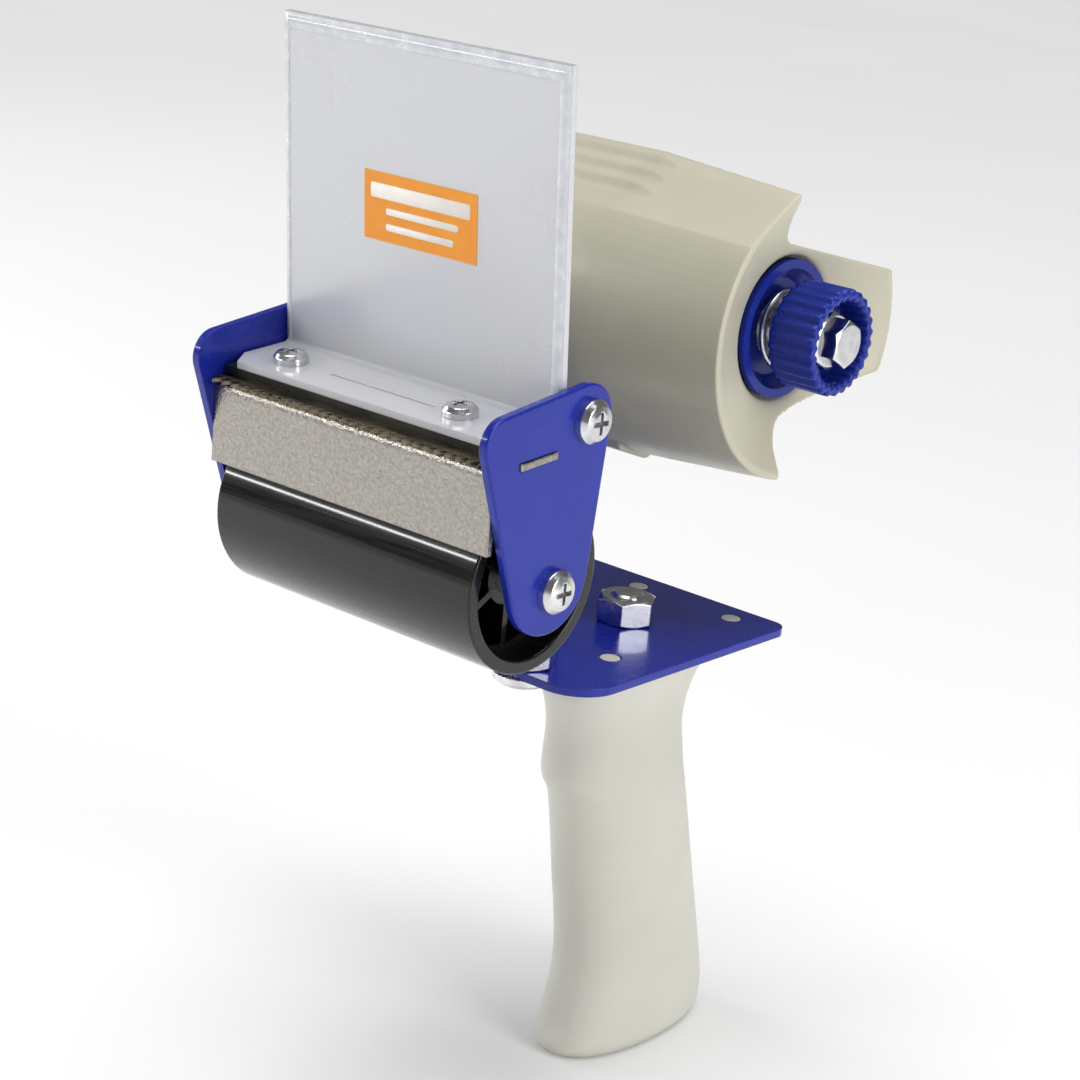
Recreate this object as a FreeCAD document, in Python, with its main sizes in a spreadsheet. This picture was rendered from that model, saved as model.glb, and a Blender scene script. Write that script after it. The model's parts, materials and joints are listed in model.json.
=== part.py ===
import FreeCAD, Part
import math
import os
import re
import Sketcher

# Hand-held carton-tape dispenser for 3 inch wide tape, empty, millimetres.
# Origin: hub axis at the middle of the tape width. +X to the open (knob) side, -Y to the blade, +Z up.

DRIVING = {
    # sheet metal frame
    "plate_gap": 82.2,           # between the inner faces of the side plates
    "sheet": 2.0,                # steel sheet of the frame and the cheek
    "bend_radius": 3.0,          # outside of a bend
    "roller_ahead": 97.7,        # roller axis in front of the hub axis
    "roller_below": 40.8,        # roller axis below the hub axis
    "floor_below": 33.6,         # handle plate top below the roller axis
    "floor_front": 27.6,         # handle plate front edge behind the roller axis
    "floor_rear": 106.0,         # handle plate rear edge behind the roller axis
    "floor_reach": 32.4,         # handle plate near edge from the middle
    "tie_back": 6.9,             # tie bar behind the roller axis
    "tie_up": 35.6,              # tie bar above the roller axis
    "front_corner": 11.0,
    "rear_corner": 4.0,
    "spindle_hole": 10.1,
    # M5 screws into the ends of the cross rods
    "end_hole": 5.2,
    "end_shank": 4.9,
    "end_length": 12.0,
    "end_head": 9.6,
    "end_dome": 3.4,
    # M8 bolts and nuts of the handle plate
    "bolt_hole": 8.2,
    "bolt_shank": 7.9,
    "nut_flats": 13.0,
    "nut_height": 6.5,
    "nut_bore": 8.0,
    # roller
    "roller_width": 76.0,
    "roller_diameter": 40.0,
    "roller_wall": 3.0,
    "core_length": 12.0,
    "core_setback": 7.0,
    "core_rim": 1.5,
    "core_boss": 13.0,
    "spoke_thick": 1.6,
    "spoke_count": 6,
    "rod_diameter": 8.0,
    "tie_diameter": 7.0,
    "running_gap": 0.05,         # radial clearance of a running fit
    # blade group, in a frame tilted about X
    "tilt": 5.0,
    "shelf_back": -8.25,         # tilted frame's origin behind the roller axis
    "shelf_up": 29.85,           # and above it: the top face of the bracket's shelf
    "bracket_sheet": 1.5,
    "bracket_face": 11.2,        # front face ahead of the tilted origin
    "bracket_drop": 18.7,
    "shelf_rear": 8.0,
    "tab_length": 11.2,
    "tab_stand": 0.4,            # tab end past the outer face of a side plate
    "slot_gap": 0.15,
    "blade_thick": 0.8,
    "blade_reach": 14.0,         # tooth tips ahead of the tilted origin
    "tooth_pitch": 3.0,
    "tooth_count": 27,
    "tooth_depth": 2.6,
    "bar_thick": 1.8,
    "bar_reach": 8.7,
    "guard_thick": 1.6,
    "guard_width": 80.6,
    "guard_face": 9.8,           # front face of the upright behind the tilted origin
    "guard_top": 77.6,
    "guard_corner_x": 3.6,
    "guard_corner_y": 5.4,
    "label_width": 32.4,
    "label_height": 14.8,
    "label_up": 40.2,
    "label_thick": 0.15,
    "slit_start": -16.0,
    "slit_end": 14.6,
    "guard_screw_left": -28.3,
    "guard_screw_right": 21.9,
    "guard_screw_back": -0.6,
    "guard_screw_hole": 4.0,
    "guard_screw_shank": 3.9,
    "guard_screw_length": 10.4,
    "guard_screw_head": 7.8,
    "guard_screw_dome": 2.7,
    "guard_nut_flats": 7.0,
    "guard_nut_height": 3.2,
    # tape hub
    "hub_far": -40.0,
    "hub_taper_from": -6.0,
    "hub_near": 33.3,
    "hub_radius": 38.0,
    "hub_near_radius": 35.0,
    "hub_wall": 3.2,
    "barrel_radius": 19.2,
    "seat_radius": 17.4,
    "well_radius": 15.4,
    "seat_x": 24.6,
    "well_x": 21.4,
    "hub_lip": 1.6,
    "facet_from": 106,           # degrees round the hub from +Y
    "facet_to": 139,
    "groove_diameter": 5.0,
    "groove_end": 2.4,
    "groove_taper": 12.0,
    "hollow_to": 12.0,
    "hollow_angle": 132,
    "rib_length": 36.0,
    "spindle_diameter": 14.0,
    "spindle_thread": 10.0,
    "spindle_nut_flats": 16.0,
    "spindle_near": 23.4,
    "spindle_tapped_to": -8.0,
    # brake and tension group
    "spring_wire": 1.8,
    "spring_radius": 8.8,
    "spring_from": 23.5,
    "spring_to": 32.0,
    "knob_far": 30.6,
    "knob_near": 43.1,
    "knob_radius": 12.8,
    "knob_wall": 2.2,
    "knob_recess": 7.6,
    "flute_count": 24,
    "head_near": 44.8,
    "bolt_head": 4.3,
    "head_flats": 10.0,
    # grip
    "grip_x": 5.3,
    "grip_y": 75.5,
    "peg_x": 14.6,
    "peg_y": 23.4,
    "peg_diameter": 5.0,
    "grip_flange": 3.0,
    "grip_wall": 3.0,
    "oval_start": 3.0,           # first oval below the handle plate's top
    "oval_step": 10.5,
    "grip_length": 113.0,        # from the handle plate's top down to the foot
    "plate_bolt_x": 10.0,
    "plate_bolt_y": 33.0,
}

doc = FreeCAD.newDocument("tape_dispenser")
sizes = doc.addObject("Spreadsheet::Sheet", "Sizes")
for row, (alias, number) in enumerate(DRIVING.items(), start=1):
    sizes.set(f"A{row}", alias)
    sizes.set(f"B{row}", str(number))
    sizes.setAlias(f"B{row}", alias)
doc.recompute()

NODES = []


# ---------------------------------------------------------------- expressions and sketches

def full(expression):
    """The expression with every alias written as a cell of the sheet."""
    named = lambda word: f"Sizes.{word[0]}" if word[0] in DRIVING else word[0]
    return re.sub(r"[a-z][a-z_]*", named, str(expression))


def value(expression):
    """The number that an expression has now."""
    return float(sizes.evalExpression(full(expression)))


def bind(thing, setting, expression):
    thing.setExpression(setting, full(expression))


def frame(x="0", y="0", z="0", axis="1; 0; 0", angle="0"):
    """The expression of a placement."""
    return f"placement(vector({x}; {y}; {z}); rotation(vector({axis}); {angle}))"


ROLLER_FRAME = frame(y="-roller_ahead", z="-roller_below")
SHELF_FRAME = frame(y="shelf_back - roller_ahead", z="shelf_up - roller_below", angle="tilt")
HUB_FRAME = frame()
INNER = "plate_gap / 2"
OUTER = "(plate_gap / 2 + sheet)"


def new_body(name, placement=HUB_FRAME):
    body = doc.addObject("PartDesign::Body", name)
    body.Label = name
    bind(body, "Placement", placement)
    return body


def origin_part(body, role):
    return next(item for item in body.Origin.OriginFeatures if item.Role == role)


def new_sketch(body, role, offset="0", turn="0", across="0", up="0"):
    """A sketch on one of the body's origin planes, moved along the plane's normal by offset."""
    sketch = body.newObject("Sketcher::SketchObject", f"{body.Name}_sketch")
    sketch.AttachmentSupport = (origin_part(body, role), [""])
    sketch.MapMode = "FlatFace"
    bind(sketch, "AttachmentOffset", frame(across, up, offset, "0; 0; 1", turn))
    return sketch


def dimension(sketch, kind, *details):
    """Add a dimension; its last detail is the expression of its size."""
    *places, expression = details
    index = sketch.addConstraint(Sketcher.Constraint(kind, *places, value(expression)))
    bind(sketch, f"Constraints[{index}]", expression)


def pin_point(sketch, piece, vertex, across, up):
    dimension(sketch, "DistanceX", -1, 1, piece, vertex, across)
    dimension(sketch, "DistanceY", -1, 1, piece, vertex, up)


def add_circle(sketch, across, up, diameter):
    centre = FreeCAD.Vector(value(across), value(up), 0)
    circle = Part.Circle(centre, FreeCAD.Vector(0, 0, 1), value(diameter) / 2)
    piece = sketch.addGeometry(circle, False)
    pin_point(sketch, piece, 3, across, up)
    dimension(sketch, "Diameter", piece, diameter)


def add_polygon(sketch, corners):
    """A closed run of straight lines with each corner pinned to a pair of expressions."""
    points = [FreeCAD.Vector(value(across), value(up), 0) for across, up in corners]
    pieces = []
    for start, end in zip(points, points[1:] + points[:1]):
        pieces.append(sketch.addGeometry(Part.LineSegment(start, end), False))
    for piece, following in zip(pieces, pieces[1:] + pieces[:1]):
        sketch.addConstraint(Sketcher.Constraint("Coincident", piece, 2, following, 1))
    for piece, (across, up) in zip(pieces, corners):
        pin_point(sketch, piece, 1, across, up)


def add_hull(sketch, corners):
    """A convex outline, anticlockwise: an arc at each (across, up, radius), tangent lines between."""
    circles = [(FreeCAD.Vector(value(a), value(b), 0), value(r)) for a, b, r in corners]
    normals = []
    for (centre, radius), (next_centre, next_radius) in zip(circles, circles[1:] + circles[:1]):
        step = next_centre - centre
        heading = math.atan2(step.y, step.x)
        lean = math.acos((radius - next_radius) / step.Length)
        normals.append(heading - lean)
    arcs = []
    for number, (centre, radius) in enumerate(circles):
        circle = Part.Circle(centre, FreeCAD.Vector(0, 0, 1), radius)
        start, end = normals[number - 1], normals[number]
        arcs.append(sketch.addGeometry(Part.ArcOfCircle(circle, start, end), False))
    for number, arc in enumerate(arcs):
        following = arcs[(number + 1) % len(arcs)]
        ends = sketch.getPoint(arc, 2), sketch.getPoint(following, 1)
        line = sketch.addGeometry(Part.LineSegment(*ends), False)
        sketch.addConstraint(Sketcher.Constraint("Tangent", arc, 2, line, 1))
        sketch.addConstraint(Sketcher.Constraint("Tangent", line, 2, following, 1))
    for arc, (across, up, radius) in zip(arcs, corners):
        pin_point(sketch, arc, 3, across, up)
        dimension(sketch, "Radius", arc, radius)


# ---------------------------------------------------------------- features

def pad(body, sketch, length, backward=False):
    feature = body.newObject("PartDesign::Pad", f"{body.Name}_pad")
    feature.Profile = sketch
    feature.Reversed = backward
    bind(feature, "Length", length)
    doc.recompute()
    return feature


def require_less(body, before, feature):
    """Stop if a cut has taken nothing away."""
    if body.Shape.Volume > before - 1e-3:
        raise RuntimeError(f"{feature.Name} cuts nothing")


def pocket(body, sketch, length, forward=False):
    """Cut along the sketch plane's normal (forward) or against it."""
    before = body.Shape.Volume
    feature = body.newObject("PartDesign::Pocket", f"{body.Name}_pocket")
    feature.Profile = sketch
    feature.Reversed = forward
    bind(feature, "Length", length)
    doc.recompute()
    require_less(body, before, feature)
    return feature


def revolve(body, corners):
    """Turn a closed (x, radius) outline about the body's X axis."""
    sketch = new_sketch(body, "XY_Plane")
    add_polygon(sketch, corners)
    doc.recompute()
    feature = body.newObject("PartDesign::Revolution", f"{body.Name}_revolution")
    feature.Profile = sketch
    feature.ReferenceAxis = (origin_part(body, "X_Axis"), [""])
    feature.Angle = 360
    doc.recompute()
    return feature


def polar(body, features, count):
    pattern = body.newObject("PartDesign::PolarPattern", f"{body.Name}_pattern")
    pattern.Originals = features
    pattern.Axis = (origin_part(body, "X_Axis"), [""])
    pattern.Angle = 360
    bind(pattern, "Occurrences", count)
    body.Tip = pattern
    doc.recompute()
    return pattern


def dress(body, kind, setting, size, wanted):
    """Fillet or chamfer the edges of the body's last feature for which wanted(edge) is true."""
    base = body.Tip
    edges = [f"Edge{n}" for n, edge in enumerate(base.Shape.Edges, start=1) if wanted(edge)]
    if not edges:
        raise RuntimeError(f"{body.Name} has no edge to dress")
    feature = body.newObject(kind, f"{body.Name}_dress")
    feature.Base = (base, edges)
    bind(feature, setting, size)
    doc.recompute()
    return feature


def fillet(body, radius, wanted):
    return dress(body, "PartDesign::Fillet", "Radius", radius, wanted)


def chamfer(body, size, wanted):
    return dress(body, "PartDesign::Chamfer", "Size", size, wanted)


def along(edge, axis):
    """True for a straight edge parallel to one of the body's axes."""
    if not isinstance(edge.Curve, Part.Line):
        return False
    return abs(getattr(edge.Curve.Direction, axis)) > 0.999


def near(edge, **wanted):
    """True for an edge whose middle has the wanted coordinates within a tenth."""
    middle = edge.valueAt((edge.FirstParameter + edge.LastParameter) / 2)
    return all(abs(getattr(middle, axis) - place) < 0.1 for axis, place in wanted.items())


def keep(item):
    NODES.append(item)
    return item


def group(name, members):
    """One node made of several separate solids."""
    compound = doc.addObject("Part::Compound", name)
    compound.Label = name
    compound.Links = members
    return keep(compound)


# ---------------------------------------------------------------- fasteners

def pan_screw(name, placement, shank, length, head, rise):
    """A pan-head screw with a cross recess; local +X points out of the head."""
    body = new_body(name, placement)
    revolve(body, [
        (f"-{length}", "0"),
        (f"-{length}", f"{shank} / 2 - 0.3"),
        (f"0.3 - {length}", f"{shank} / 2"),
        ("0", f"{shank} / 2"),
        ("0", f"{head} / 2"),
        (f"{rise} * 0.5", f"{head} / 2"),
        (f"{rise} * 0.85", f"{head} * 0.4"),
        (f"{rise}", f"{head} * 0.22"),
        (f"{rise}", "0"),
    ])
    arm, half = f"{head} * 0.25", f"{head} * 0.05"
    recess = new_sketch(body, "YZ_Plane", rise)
    add_polygon(recess, [
        (arm, f"-{half}"), (arm, half), (half, half), (half, arm), (f"-{half}", arm), (f"-{half}", half),
        (f"-{arm}", half), (f"-{arm}", f"-{half}"), (f"-{half}", f"-{half}"), (f"-{half}", f"-{arm}"),
        (half, f"-{arm}"), (half, f"-{half}"),
    ])
    pocket(body, recess, f"{rise} * 0.6")
    return body


def add_hexagon(sketch, flats):
    corners = []
    for number in range(6):
        turn = 60 * number + 30
        corners.append((f"{flats} / sqrt(3) * cos({turn})", f"{flats} / sqrt(3) * sin({turn})"))
    add_polygon(sketch, corners)


def bevel_hexagon(body, flats, end, inward):
    """Round off the hexagon's corners at one end, as on a turned nut."""
    sketch = new_sketch(body, "XY_Plane")
    add_polygon(sketch, [
        (end, f"{flats} * 0.47"), (end, f"{flats} * 0.62"), (f"{end} + {inward}", f"{flats} * 0.62"),
    ])
    doc.recompute()
    before = body.Shape.Volume
    groove = body.newObject("PartDesign::Groove", f"{body.Name}_groove")
    groove.Profile = sketch
    groove.ReferenceAxis = (origin_part(body, "X_Axis"), [""])
    groove.Angle = 360
    doc.recompute()
    require_less(body, before, groove)


def hex_nut(name, placement, flats, height, bore):
    """A hexagon nut standing on x = 0, bevelled at both ends."""
    body = new_body(name, placement)
    outline = new_sketch(body, "YZ_Plane")
    add_hexagon(outline, flats)
    add_circle(outline, "0", "0", bore)
    pad(body, outline, height)
    bevel_hexagon(body, flats, height, f"-{flats} * 0.08")
    bevel_hexagon(body, flats, "0", f"{flats} * 0.08")
    return body


def hex_bolt(name, placement, flats, head, shank, length):
    """A hexagon bolt; the head stands on x = 0 and the shank runs to -length."""
    body = new_body(name, placement)
    outline = new_sketch(body, "YZ_Plane")
    add_hexagon(outline, flats)
    pad(body, outline, head)
    bevel_hexagon(body, flats, head, f"-{flats} * 0.08")
    rod = new_sketch(body, "YZ_Plane")
    add_circle(rod, "0", "0", shank)
    pad(body, rod, length, backward=True)
    chamfer(body, "0.6", lambda edge: near_end(edge, value(f"-({length})")))
    return body


def near_end(edge, x):
    """True for a round edge lying in the plane at x of the body's own frame."""
    return isinstance(edge.Curve, Part.Circle) and abs(edge.Curve.Center.x - x) < 0.01


def washer(name, placement, outer, bore, thick):
    body = new_body(name, placement)
    outline = new_sketch(body, "YZ_Plane")
    add_circle(outline, "0", "0", outer)
    add_circle(outline, "0", "0", bore)
    pad(body, outline, thick)
    return body


def cross_rod(name, placement, diameter):
    """A rod between the side plates with a tapped hole in each end for an M5 screw."""
    body = new_body(name, placement)
    end, depth, tapped = INNER, "(plate_gap / 2 - 12)", "2.5"
    revolve(body, [
        (f"-{end}", tapped), (f"-{end}", f"{diameter} / 2"), (end, f"{diameter} / 2"), (end, tapped),
        (depth, tapped), (depth, "0"), (f"-{depth}", "0"), (f"-{depth}", tapped),
    ])
    return keep(body)


def end_screws(name, back, up):
    """The pair of M5 screws that hold a cross rod, one outside each side plate."""
    screws = []
    for side, turn in (("near", "0"), ("far", "180")):
        x = OUTER if side == "near" else f"-{OUTER}"
        placement = frame(x, f"{back} - roller_ahead", f"{up} - roller_below", "0; 0; 1", turn)
        screws.append(pan_screw(
            f"{name}_{side}", placement, "end_shank", "end_length", "end_head", "end_dome"))
    return group(name, screws)


# ---------------------------------------------------------------- frame

def side_corners():
    """The three rounded corners that the side plate and the cheek share."""
    return [("-0.9", "2.1", "12"), ("tie_back - 0.3", "tie_up", "7.8"), ("-18.6", "33.8", "5.9")]


def cut_shelf_slot(body, offset):
    """Cut the slot that a tab of the blade bracket passes through."""
    slot = new_sketch(body, "YZ_Plane", offset, "tilt", "shelf_back", "shelf_up")
    half = "(tab_length / 2 + slot_gap)"
    low, high = "-(bracket_sheet + slot_gap)", "slot_gap"
    add_polygon(slot, [(f"-{half}", low), (half, low), (half, high), (f"-{half}", high)])
    pocket(body, slot, "sheet", forward=True)


def make_main_frame():
    """Side plate and handle plate, bent from one sheet."""
    body = new_body("main_frame", ROLLER_FRAME)
    under = "(-floor_below - sheet)"
    angle = new_sketch(body, "XZ_Plane", "-floor_rear")
    add_polygon(angle, [
        (f"-{OUTER}", under), ("floor_reach", under), ("floor_reach", "-floor_below"),
        (f"-{INNER}", "-floor_below"), (f"-{INNER}", f"{under} + bend_radius + 1"),
        (f"-{OUTER}", f"{under} + bend_radius + 1"),
    ])
    pad(body, angle, "floor_rear - floor_front")
    inner, outer, reach = value(f"-{INNER}"), value(f"-{OUTER}"), value("floor_reach")
    front, rear = value("floor_front"), value("floor_rear")
    floor_z = value("-floor_below")
    fillet(body, "bend_radius - sheet", lambda edge: along(edge, "y") and near(edge, x=inner, z=floor_z))
    fillet(body, "bend_radius", lambda edge: along(edge, "y") and near(edge, x=outer, z=value(under)))
    fillet(body, "front_corner", lambda edge: along(edge, "z") and near(edge, x=reach, y=front))
    fillet(body, "rear_corner", lambda edge: along(edge, "z") and near(edge, x=reach, y=rear))
    axle_corner, _, brow_corner = side_corners()
    side = new_sketch(body, "YZ_Plane", f"-{OUTER}")
    low = f"{under} + bend_radius + 1"
    add_hull(side, [
        axle_corner, ("floor_front + 1", low, "1"), ("floor_rear - 1", low, "1"),
        ("roller_ahead", "roller_below", "15"), brow_corner,
    ])
    pad(body, side, "sheet")
    holes = new_sketch(body, "YZ_Plane", f"-{OUTER}")
    add_circle(holes, "0", "0", "end_hole")
    add_circle(holes, "tie_back", "tie_up", "end_hole")
    add_circle(holes, "roller_ahead", "roller_below", "spindle_hole")
    pocket(body, holes, "sheet", forward=True)
    cut_shelf_slot(body, f"-{OUTER}")
    drilled = new_sketch(body, "XY_Plane", "-floor_below")
    add_circle(drilled, "grip_x", "grip_y", "bolt_hole")
    add_circle(drilled, "plate_bolt_x", "plate_bolt_y", "bolt_hole")
    for side_x in ("-peg_x", "+peg_x"):
        for side_y in ("-peg_y", "+peg_y"):
            add_circle(drilled, f"grip_x {side_x}", f"grip_y {side_y}", "peg_diameter + 0.2")
    pocket(body, drilled, "sheet")
    return keep(body)


def make_cheek_plate():
    body = new_body("cheek_plate", ROLLER_FRAME)
    outline = new_sketch(body, "YZ_Plane", INNER)
    add_hull(outline, side_corners())
    add_circle(outline, "0", "0", "end_hole")
    add_circle(outline, "tie_back", "tie_up", "end_hole")
    pad(body, outline, "sheet")
    cut_shelf_slot(body, INNER)
    fillet(body, "0.5", lambda edge: near_outer_rim(edge, value(OUTER)))
    return keep(body)


def near_outer_rim(edge, x):
    """True for an outline edge of the cheek's outer face, but not for its holes and slot."""
    box = edge.BoundBox
    flat = abs(box.XMin - x) < 0.01 and abs(box.XMax - x) < 0.01
    if not flat or (isinstance(edge.Curve, Part.Circle) and edge.Curve.Radius < 3):
        return False
    return edge.Length > 12 or isinstance(edge.Curve, Part.Circle)


# ---------------------------------------------------------------- roller

def make_roller():
    tube = new_body("roller_tube", ROLLER_FRAME)
    outline = new_sketch(tube, "YZ_Plane", "-roller_width / 2")
    add_circle(outline, "0", "0", "roller_diameter")
    add_circle(outline, "0", "0", "roller_diameter - 2 * roller_wall")
    pad(tube, outline, "roller_width")
    fillet(tube, "0.5", lambda edge: isinstance(edge.Curve, Part.Circle))
    keep(tube)
    cores = []
    for side in ("near", "far"):
        cores.append(make_roller_core(f"roller_core_{side}", side == "near"))
    group("roller_cores", cores)
    rod = cross_rod("roller_axle", ROLLER_FRAME, "rod_diameter")
    end_screws("roller_screws", "0", "0")
    return rod


def make_roller_core(name, is_near):
    """A spoked wheel pressed into one end of the tube."""
    body = new_body(name, ROLLER_FRAME)
    start = "-roller_width / 2 + core_setback"
    if is_near:
        start = "roller_width / 2 - core_setback - core_length"
    rim = new_sketch(body, "YZ_Plane", start)
    add_circle(rim, "0", "0", "roller_diameter - 2 * roller_wall")
    add_circle(rim, "0", "0", "roller_diameter - 2 * (roller_wall + core_rim)")
    pad(body, rim, "core_length")
    spoke = new_sketch(body, "YZ_Plane", start)
    reach = "(roller_diameter / 2 - roller_wall - 1)"
    half = "spoke_thick / 2"
    add_polygon(spoke, [(f"-{half}", "5"), (half, "5"), (half, reach), (f"-{half}", reach)])
    first = pad(body, spoke, "core_length")
    polar(body, [first], "spoke_count")
    boss = new_sketch(body, "YZ_Plane", start)
    add_circle(boss, "0", "0", "core_boss")
    pad(body, boss, "core_length")
    bore = new_sketch(body, "YZ_Plane", start)
    add_circle(bore, "0", "0", "rod_diameter + 2 * running_gap")
    pocket(body, bore, "core_length", forward=True)
    return body


# ---------------------------------------------------------------- blade group

def make_blade_bracket():
    """Front plate and shelf bent from one sheet, with a tab at each end of the shelf."""
    body = new_body("blade_bracket", SHELF_FRAME)
    profile = new_sketch(body, "YZ_Plane", f"0.1 - {INNER}")
    thick, face, drop = "bracket_sheet", "bracket_face", "bracket_drop"
    add_polygon(profile, [
        ("shelf_rear", "0"),
        (f"-{face}", "0"),
        (f"-{face} - {drop} * sin(tilt)", f"-{drop} * cos(tilt)"),
        (f"{thick} * cos(tilt) - {face} - {drop} * sin(tilt)", f"-{drop} * cos(tilt) - {thick} * sin(tilt)"),
        (f"{thick} * (1 - sin(tilt)) / cos(tilt) - {face}", f"-{thick}"),
        ("shelf_rear", f"-{thick}"),
    ])
    pad(body, profile, "plate_gap - 0.2")
    front = value(f"-{face}")
    fillet(body, "3", lambda edge: along(edge, "x") and near(edge, y=front, z=0))
    inside = value(f"{thick} * (1 - sin(tilt)) / cos(tilt) - {face}")
    fillet(body, "1.5", lambda edge: along(edge, "x") and near(edge, y=inside, z=value(f"-{thick}")))
    tabs = new_sketch(body, "YZ_Plane", f"-{OUTER} - tab_stand")
    add_polygon(tabs, [
        ("-tab_length / 2", f"-{thick}"), ("tab_length / 2", f"-{thick}"),
        ("tab_length / 2", "0"), ("-tab_length / 2", "0"),
    ])
    pad(body, tabs, f"2 * ({OUTER} + tab_stand)")
    drill_guard_screws(body, "0")
    return keep(body)


def drill_guard_screws(body, top):
    holes = new_sketch(body, "XY_Plane", top)
    add_circle(holes, "guard_screw_left", "guard_screw_back", "guard_screw_hole")
    add_circle(holes, "guard_screw_right", "guard_screw_back", "guard_screw_hole")
    pocket(body, holes, "guard_thick + 1")


def make_blade():
    body = new_body("blade", SHELF_FRAME)
    left = "(-tooth_count * tooth_pitch / 2)"
    strip = new_sketch(body, "XY_Plane")
    add_polygon(strip, [
        (left, "-blade_reach"), (f"-{left}", "-blade_reach"), (f"-{left}", "4"), (left, "4"),
    ])
    pad(body, strip, "blade_thick")
    gullet = new_sketch(body, "XY_Plane", "blade_thick")
    add_polygon(gullet, [
        (f"{left} - tooth_pitch / 2", "-blade_reach - 0.01"),
        (f"{left} + tooth_pitch / 2", "-blade_reach - 0.01"),
        (left, "tooth_depth - blade_reach"),
    ])
    first = pocket(body, gullet, "blade_thick")
    row = body.newObject("PartDesign::LinearPattern", "blade_teeth")
    row.Originals = [first]
    row.Direction = (origin_part(body, "X_Axis"), [""])
    bind(row, "Length", "tooth_count * tooth_pitch")
    bind(row, "Occurrences", "tooth_count + 1")
    body.Tip = row
    doc.recompute()
    drill_guard_screws(body, "blade_thick")
    return keep(body)


def make_clamp_bar():
    """The dark bar that spaces the guard off the blade."""
    body = new_body("blade_clamp_bar", SHELF_FRAME)
    outline = new_sketch(body, "XY_Plane", "blade_thick")
    half = "guard_width / 2"
    add_polygon(outline, [
        (f"-{half}", "-bar_reach"), (half, "-bar_reach"), (half, "4"), (f"-{half}", "4"),
    ])
    pad(body, outline, "bar_thick")
    drill_guard_screws(body, "blade_thick + bar_thick")
    return keep(body)


def make_guard():
    """Translucent plastic angle: a flap on the clamp bar and an upright behind the blade."""
    body = new_body("blade_guard", SHELF_FRAME)
    base = "(blade_thick + bar_thick)"
    flap = f"({base} + guard_thick)"
    profile = new_sketch(body, "YZ_Plane", "-guard_width / 2")
    add_polygon(profile, [
        ("-bar_reach", base), ("guard_face + guard_thick", base), ("guard_face + guard_thick", "guard_top"),
        ("guard_face", "guard_top"), ("guard_face", flap), ("-bar_reach", flap),
    ])
    pad(body, profile, "guard_width")
    face, back = value("guard_face"), value("guard_face + guard_thick")
    fillet(body, "1", lambda edge: along(edge, "x") and near(edge, y=face, z=value(flap)))
    fillet(body, "2.4", lambda edge: along(edge, "x") and near(edge, y=back, z=value(base)))
    corners = new_sketch(body, "XY_Plane", flap)
    for side in ("-", ""):
        edge_x = f"{side}guard_width / 2"
        inner_x = f"{side}(guard_width / 2 - guard_corner_x)"
        add_polygon(corners, [
            (edge_x, "-bar_reach"), (edge_x, "guard_corner_y - bar_reach"), (inner_x, "-bar_reach"),
        ])
    pocket(body, corners, "guard_thick")
    slit = new_sketch(body, "XY_Plane", flap)
    add_polygon(slit, [
        ("slit_start", "guard_screw_back - 0.2"), ("slit_end", "guard_screw_back - 0.2"),
        ("slit_end", "guard_screw_back + 0.3"), ("slit_start", "guard_screw_back + 0.3"),
    ])
    pocket(body, slit, "0.5")
    drill_guard_screws(body, flap)
    return keep(body)


def make_label():
    body = new_body("guard_label", SHELF_FRAME)
    outline = new_sketch(body, "YZ_Plane", "-label_width / 2")
    low, high = "label_up - label_height / 2", "label_up + label_height / 2"
    add_polygon(outline, [
        ("guard_face - label_thick", low), ("guard_face", low),
        ("guard_face", high), ("guard_face - label_thick", high),
    ])
    pad(body, outline, "label_width")
    return keep(body)


def shelf_placement(x, back, up, axis, angle):
    """A placement on the tilted shelf for a fastener whose own +X is turned by angle about axis."""
    turned = f"placement(vector({x}; {back}; {up}); rotation(vector({axis}); {angle}))"
    return f"{SHELF_FRAME} * {turned}"


def make_guard_fasteners():
    screws, nuts = [], []
    for side in ("left", "right"):
        x, back = f"guard_screw_{side}", "guard_screw_back"
        top = "blade_thick + bar_thick + guard_thick"
        upright = shelf_placement(x, back, top, "0; 1; 0", "-90")
        screws.append(pan_screw(
            f"guard_screw_{side}_body", upright,
            "guard_screw_shank", "guard_screw_length", "guard_screw_head", "guard_screw_dome"))
        hanging = shelf_placement(x, back, "-bracket_sheet", "0; 1; 0", "90")
        nuts.append(hex_nut(
            f"guard_nut_{side}", hanging, "guard_nut_flats", "guard_nut_height", "guard_screw_hole"))
    group("guard_screws", screws)
    group("guard_nuts", nuts)


# ---------------------------------------------------------------- tape hub and brake

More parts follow.
